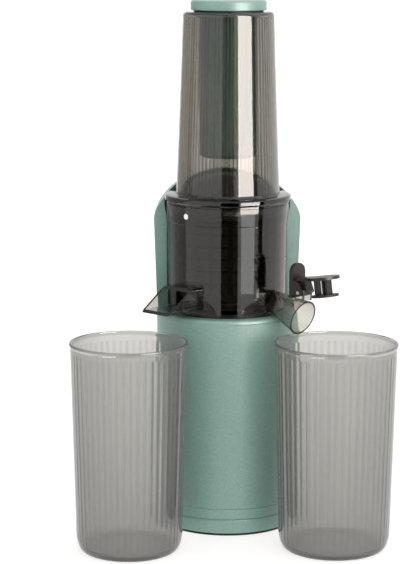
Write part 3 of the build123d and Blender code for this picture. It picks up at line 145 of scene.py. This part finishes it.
def speckled(name, color):
    """Satin shell with a fine metallic-looking speckle."""
    material, tree, shader = new_material(name)
    shader.inputs["Roughness"].default_value = 0.42
    shader.inputs["Specular IOR Level"].default_value = 0.5
    shader.inputs["Coat Weight"].default_value = 0.25
    shader.inputs["Coat Roughness"].default_value = 0.3
    grain = noise(tree, 1500.0, 2.0, 0.7)
    body = ramp(tree, grain, ((0.30, shade(color, 0.80)), (0.50, color), (0.72, shade(color, 1.28))))
    fleck = noise(tree, 2600.0, 1.0)
    flecks = ramp(tree, fleck, ((0.66, (0, 0, 0)), (0.74, (0.16, 0.18, 0.17))))
    mix = add(tree, "ShaderNodeMix", data_type="RGBA", blend_type="ADD")
    mix.inputs["Factor"].default_value = 1.0
    tree.links.new(body, mix.inputs["A"])
    tree.links.new(flecks, mix.inputs["B"])
    tree.links.new(mix.outputs["Result"], shader.inputs["Base Color"])
    bump(tree, shader, grain, 0.12, 0.0001)
    return material


def metal(name, color, roughness, brushed=0.0):
    """Metal with a fine uneven polish; brushed stretches it round the axis."""
    material, tree, shader = new_material(name)
    shader.inputs["Metallic"].default_value = 1.0
    stretch = add(tree, "ShaderNodeMapping")
    stretch.inputs["Scale"].default_value = (1.0, 1.0, 1.0 + 12.0 * brushed)
    tree.links.new(coordinates(tree), stretch.inputs["Vector"])
    grain = noise(tree, 260.0, 4.0, 0.6, stretch.outputs["Vector"])
    tree.links.new(ramp(tree, grain, ((0.3, shade(color, 0.85)), (0.7, color))), shader.inputs["Base Color"])
    spread = add(tree, "ShaderNodeMapRange")
    spread.inputs["To Min"].default_value = roughness * 0.8
    spread.inputs["To Max"].default_value = roughness * 1.3
    tree.links.new(grain, spread.inputs["Value"])
    tree.links.new(spread.outputs["Result"], shader.inputs["Roughness"])
    return material


def perforated(name, pitch, radius):
    """Dark steel sheet with rows of fine holes round the axis."""
    material, tree, shader = new_material(name)
    shader.inputs["Metallic"].default_value = 1.0
    shader.inputs["Roughness"].default_value = 0.45
    height, turn, _ = polar(tree)
    holes_round = round(2 * math.pi * radius / pitch)
    round_wave = math_node(tree, "SINE", math_node(tree, "MULTIPLY", turn, holes_round))
    up_wave = math_node(tree, "SINE", math_node(tree, "MULTIPLY", height, 2 * math.pi / pitch))
    holes = math_node(tree, "MULTIPLY", round_wave, up_wave)
    tree.links.new(ramp(tree, holes, ((0.25, (0.075, 0.072, 0.068)), (0.40, (0.006, 0.006, 0.006)))),
                   shader.inputs["Base Color"])
    return material


def smoked(name, density, tint, clear=1.0, index=1.6):
    """Clear smoked plastic, dark by its thickness."""
    material, tree, shader = new_material(name)
    shader.inputs["Base Color"].default_value = (1.0, 1.0, 1.0, 1.0)
    shader.inputs["Roughness"].default_value = 0.015
    shader.inputs["IOR"].default_value = index
    shader.inputs["Transmission Weight"].default_value = clear
    absorb = add(tree, "ShaderNodeVolumeAbsorption")
    absorb.inputs["Color"].default_value = (*tint, 1.0)
    absorb.inputs["Density"].default_value = density
    tree.links.new(absorb.outputs["Volume"], tree.nodes["Material Output"].inputs["Volume"])
    return material


def inner_side(tree, height, radius, wall_line, span):
    """1 on the inner side of a leaning wall between two heights, and 0 elsewhere."""
    line = add(tree, "ShaderNodeMapRange")
    (low_z, low_r), (high_z, high_r) = wall_line
    for socket, value in (("From Min", low_z), ("From Max", high_z), ("To Min", low_r), ("To Max", high_r)):
        line.inputs[socket].default_value = value
    tree.links.new(height, line.inputs["Value"])
    inner = math_node(tree, "LESS_THAN", radius, line.outputs["Result"])
    above = math_node(tree, "GREATER_THAN", height, span[0])
    below = math_node(tree, "LESS_THAN", height, span[1])
    return math_node(tree, "MULTIPLY", inner, math_node(tree, "MULTIPLY", above, below))


def fluted(material, count, depth, painted_streak, centre, wall_line, span):
    """Flutes down the inner side of a smoked wall, with uneven painted shade: dark streaks painted between
    them.
    """
    tree = material.node_tree
    shader = tree.nodes["Principled BSDF"]
    height, turn, radius = polar(tree, centre)
    wave = math_node(tree, "SINE", math_node(tree, "MULTIPLY", turn, float(count)))
    shown = inner_side(tree, height, radius, wall_line, span)
    bump(tree, shader, math_node(tree, "MULTIPLY", wave, shown), 1.0, depth)
    flat = add(tree, "ShaderNodeMapping")
    flat.inputs["Scale"].default_value = (1.0, 1.0, 0.0)
    tree.links.new(coordinates(tree), flat.inputs["Vector"])
    uneven = math_node(tree, "MULTIPLY", noise(tree, 210.0, 2.0, 0.6, flat.outputs["Vector"]), 1.6)
    # Painted shade: the colour darkens in step with the flute wave, unevenly, as streaks of shade between the
    # flutes.
    dark = math_node(tree, "MULTIPLY", math_node(tree, "ADD", wave, 1.0), uneven)
    painted_shade = math_node(tree, "MULTIPLY", math_node(tree, "MULTIPLY", dark, shown), painted_streak)
    tree.links.new(math_node(tree, "SUBTRACT", 1.0, painted_shade), shader.inputs["Base Color"])
    return material


GREEN = (0.20, 0.335, 0.292)
WARM = (0.14, 0.10, 0.0)
COOL = (0.07, 0.055, 0.0)
# plastic: name, colour, roughness, grain per metre, grain depth, contrast, coat
# metal: name, colour, roughness, brushing
finishes = {
    "green_shell": speckled("green_shell_satin", GREEN),
    "black_rubber": plastic("black_silicone", (0.012, 0.010, 0.009), 0.62, 900.0, 0.00004, gloss=0.3),
    "black_plastic": plastic("black_moulded", (0.013, 0.009, 0.0075), 0.40, 1400.0, 0.00003, 0.1, gloss=0.42),
    "white_mark": plastic("white_dot", (0.86, 0.86, 0.84), 0.5, 900.0, 0.00002, 0.02),
    "board": plastic("board_green", (0.02, 0.10, 0.045), 0.4, 700.0, 0.00003, 0.2, 0.2),
    "steel": metal("steel_brushed", (0.58, 0.58, 0.57), 0.28, 1.0),
    "laminations": metal("iron_dark", (0.16, 0.16, 0.17), 0.45, 1.0),
    "copper": metal("copper_wire", (0.72, 0.32, 0.16), 0.3, 1.0),
    "aluminium": metal("aluminium_plain", (0.72, 0.73, 0.74), 0.35),
    "gear_nylon": plastic("gear_nylon_cream", (0.72, 0.70, 0.62), 0.45, 800.0, 0.00003, 0.04),
    "smoked_clear": smoked("smoked_plain", density=360.0, tint=WARM, index=1.56),
}


def cup_lines(node, wall):
    """Centre of a cup and the line down the middle of its wall, from its box."""
    low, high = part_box(node)
    centre = ((low[0] + high[0]) / 2, (low[1] + high[1]) / 2)
    rim_r = (high[0] - low[0]) / 2
    foot = (low[2] + CUP_CORNER, rim_r - CUP_TAPER - wall / 2)
    return centre, (foot, (high[2], rim_r - wall / 2)), low[2], high[2]


own = {"strainer_mesh": perforated("strainer_perforated", STRAINER_PITCH, STRAINER_RADIUS),
       "strainer_frame": plastic("strainer_black", (0.009, 0.008, 0.0075), 0.5, 1400.0, 0.00003, 0.1,
                                 gloss=0.25)}
# Cups and hopper: flutes with painted shade as dark streaks between them.
for cup in ("pulp_cup", "juice_cup"):
    middle, cup_line, cup_low, cup_high = cup_lines(cup, CUP_WALL)
    own[cup] = fluted(smoked(cup + "_smoked", density=335.0, tint=COOL, clear=0.93, index=1.55), CUP_FLUTES,
                      depth=0.00007, painted_streak=0.10, centre=middle, wall_line=cup_line,
                      span=(cup_low + CUP_FLOOR_CLEAR, cup_high - CUP_LIP_CLEAR))
(foot_z, foot_r), (neck_z, neck_r) = HOPPER_LINE
own["hopper"] = fluted(smoked("hopper_smoked", density=310.0, tint=WARM, index=1.6), HOPPER_FLUTES,
                       depth=0.00001, painted_streak=0.5, centre=(0.0, 0.0),
                       wall_line=((foot_z, foot_r - HOPPER_WALL / 2), (neck_z, neck_r - HOPPER_WALL / 2)),
                       span=(foot_z, neck_z))

slot_of = {part["node"]: part["material_slot"] for part in frame["record"]["subparts"]}
for name, node in nodes.items():
    node.data.materials.clear()
    node.data.materials.append(own.get(name) or finishes[slot_of[name]])


# ---------- stage ----------
CAMERA = Vector((-0.0752, -1.5498, 0.4531))
AHEAD = Vector((0.0349, 0.9994, 0.0))
PITCH = math.radians(9.75)
ROLL = 0.0023
FOCAL_PX = 2050.0
PICTURE_PX = 564.0
SENSOR_MM = 36.0
CARD_OUT = 0.75
camera_azimuth = math.atan2(CAMERA.y, CAMERA.x)


def stage_piece(name, corners, faces, material):
    """Floor or card: a mesh with one material, linked into the scene."""
    mesh = bpy.data.meshes.new(name)
    mesh.from_pydata(corners, [], faces)
    mesh.materials.append(material)
    obj = bpy.data.objects.new(name, mesh)
    scene.collection.objects.link(obj)
    return obj


def card(name, first, last, foot, head, emission, color=(1.0, 1.0, 1.0)):
    """Curved card, seen only in gloss: angles to the right of the camera, (radius, height) edges."""
    steps = 12
    corners = []
    for step in range(steps + 1):
        turn = camera_azimuth + math.radians(first + (last - first) * step / steps)
        corners += [(radius * math.cos(turn), radius * math.sin(turn), height)
                    for radius, height in (foot, head)]
    faces = [(2 * k, 2 * k + 1, 2 * k + 3, 2 * k + 2) for k in range(steps)]
    material, tree, shader = new_material(name)
    shader.inputs["Base Color"].default_value = (0.0, 0.0, 0.0, 1.0)
    shader.inputs["Specular IOR Level"].default_value = 0.0
    shader.inputs["Emission Color"].default_value = (*color, 1.0)
    shader.inputs["Emission Strength"].default_value = emission
    obj = stage_piece(name, corners, faces, material)
    obj.visible_camera = False
    obj.visible_transmission = False
    obj.visible_diffuse = False
    obj.visible_shadow = False
    return obj


CREAM = (1.0, 0.93, 0.87)
PALE = (0.97, 1.0, 0.98)
floor_edge, foot_split, strip_split, flag_split, top_edge = (
    (CARD_OUT, height) for height in (0.0, 0.045, 0.12, 0.165, 1.1))
flag_left = card("flag_left", -150, -85, floor_edge, top_edge, 0.5)
flag_left.visible_diffuse = True
card("flag_low", -12, 19, floor_edge, flag_split, 0.0)
card("flag_high", -13, 18, flag_split, top_edge, 0.0)
card("strip_foot", 25, 51, floor_edge, foot_split, 1.6, PALE)
card("strip_low", 25, 51, foot_split, strip_split, 3.7, PALE)
card("strip_high", 23, 58, strip_split, top_edge, 14.0, CREAM)
card("flag_right", 59, 68, floor_edge, top_edge, 0.0)

ring = 96
floor_r = 60.0
floor_material, floor_tree, floor_shader = new_material("floor_paper")
floor_shader.inputs["Base Color"].default_value = (0.42, 0.405, 0.39, 1.0)
floor_shader.inputs["Roughness"].default_value = 0.9
floor_shader.inputs["Specular IOR Level"].default_value = 0.1
floor_shader.inputs["Emission Color"].default_value = (1.0, 0.995, 0.99, 1.0)
floor_shader.inputs["Emission Strength"].default_value = 0.72
floor_turns = [2 * math.pi * k / ring for k in range(ring)]
stage_piece("floor", [(floor_r * math.cos(turn), floor_r * math.sin(turn), 0) for turn in floor_turns],
            [tuple(range(ring))], floor_material)

world = bpy.data.worlds.new("studio")
scene.world = world
world.use_nodes = True
world.node_tree.nodes["Background"].inputs["Color"].default_value = (1.0, 1.0, 1.0, 1.0)
world.node_tree.nodes["Background"].inputs["Strength"].default_value = 1.05


def softbox(name, size, energy, color, place, aim_height):
    """Round area light that looks at a height on the object's axis."""
    light = bpy.data.lights.new(name, "AREA")
    light.shape = "DISK"
    light.size = size
    light.energy = energy
    light.color = color
    lamp = bpy.data.objects.new(name, light)
    lamp.location = place
    lamp.rotation_euler = (Vector((0, 0, aim_height)) - lamp.location).to_track_quat("-Z", "Y").to_euler()
    scene.collection.objects.link(lamp)
    return lamp


softbox("top_softbox", 2.6, 9.0, (1.0, 0.98, 0.95), (0.6, 0.3, 2.4), 0.1)
KEY_OUT = 1.2
key_turn = camera_azimuth + math.radians(24)
key_place = (KEY_OUT * math.cos(key_turn), KEY_OUT * math.sin(key_turn), 0.3)
key = softbox("key_softbox", 0.5, 2.2, (1.0, 0.985, 0.96), key_place, 0.15)
key.visible_glossy = False

# ---------- camera ----------
camera_data = bpy.data.cameras.new("camera")
camera_data.sensor_width = SENSOR_MM
camera_data.lens = FOCAL_PX / PICTURE_PX * SENSOR_MM
camera = bpy.data.objects.new("camera", camera_data)
camera.location = CAMERA
looking = Vector((AHEAD.x * math.cos(PITCH), AHEAD.y * math.cos(PITCH), -math.sin(PITCH)))
camera.rotation_euler = (looking.to_track_quat("-Z", "Y") @ Quaternion((0, 0, 1), ROLL)).to_euler()
scene.collection.objects.link(camera)
scene.camera = camera
scene.view_settings.view_transform = "Standard"
